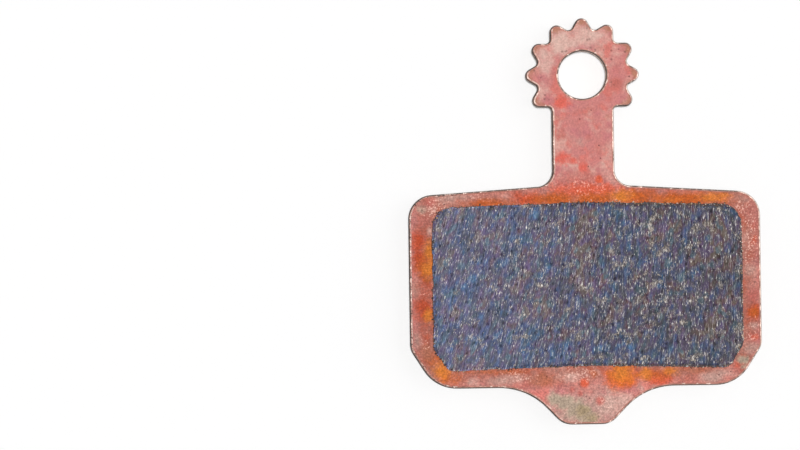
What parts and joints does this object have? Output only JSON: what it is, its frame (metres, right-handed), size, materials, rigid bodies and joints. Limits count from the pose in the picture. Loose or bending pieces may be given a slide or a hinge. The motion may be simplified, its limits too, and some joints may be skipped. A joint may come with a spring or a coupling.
{
  "type": "bicycle disc brake pad",
  "caption": "Flat disc brake pad for a bicycle calliper: a stamped steel plate with a toothed eye for the retaining pin, a pull tab and a sintered friction lining keyed through the plate.",
  "frame": {"origin": "middle of the pad's outline, on the plane of the plate's back face that it lies on", "axes": "+Z out of the friction face, +Y from the pull tab towards the toothed eye, +X across the pad to the right when the friction face is seen with the eye up"},
  "size_m": [0.0296, 0.034, 0.0039],
  "materials": {
    "plate": "copper flash on the front face, dark grey paint on the back face, bare blanked edges",
    "lining": "ground sintered metal, blue and violet temper tints"
  },
  "bodies": {
    "root": {"backing_plate": "plate", "friction_lining": "lining"}
  },
  "joints": []
}
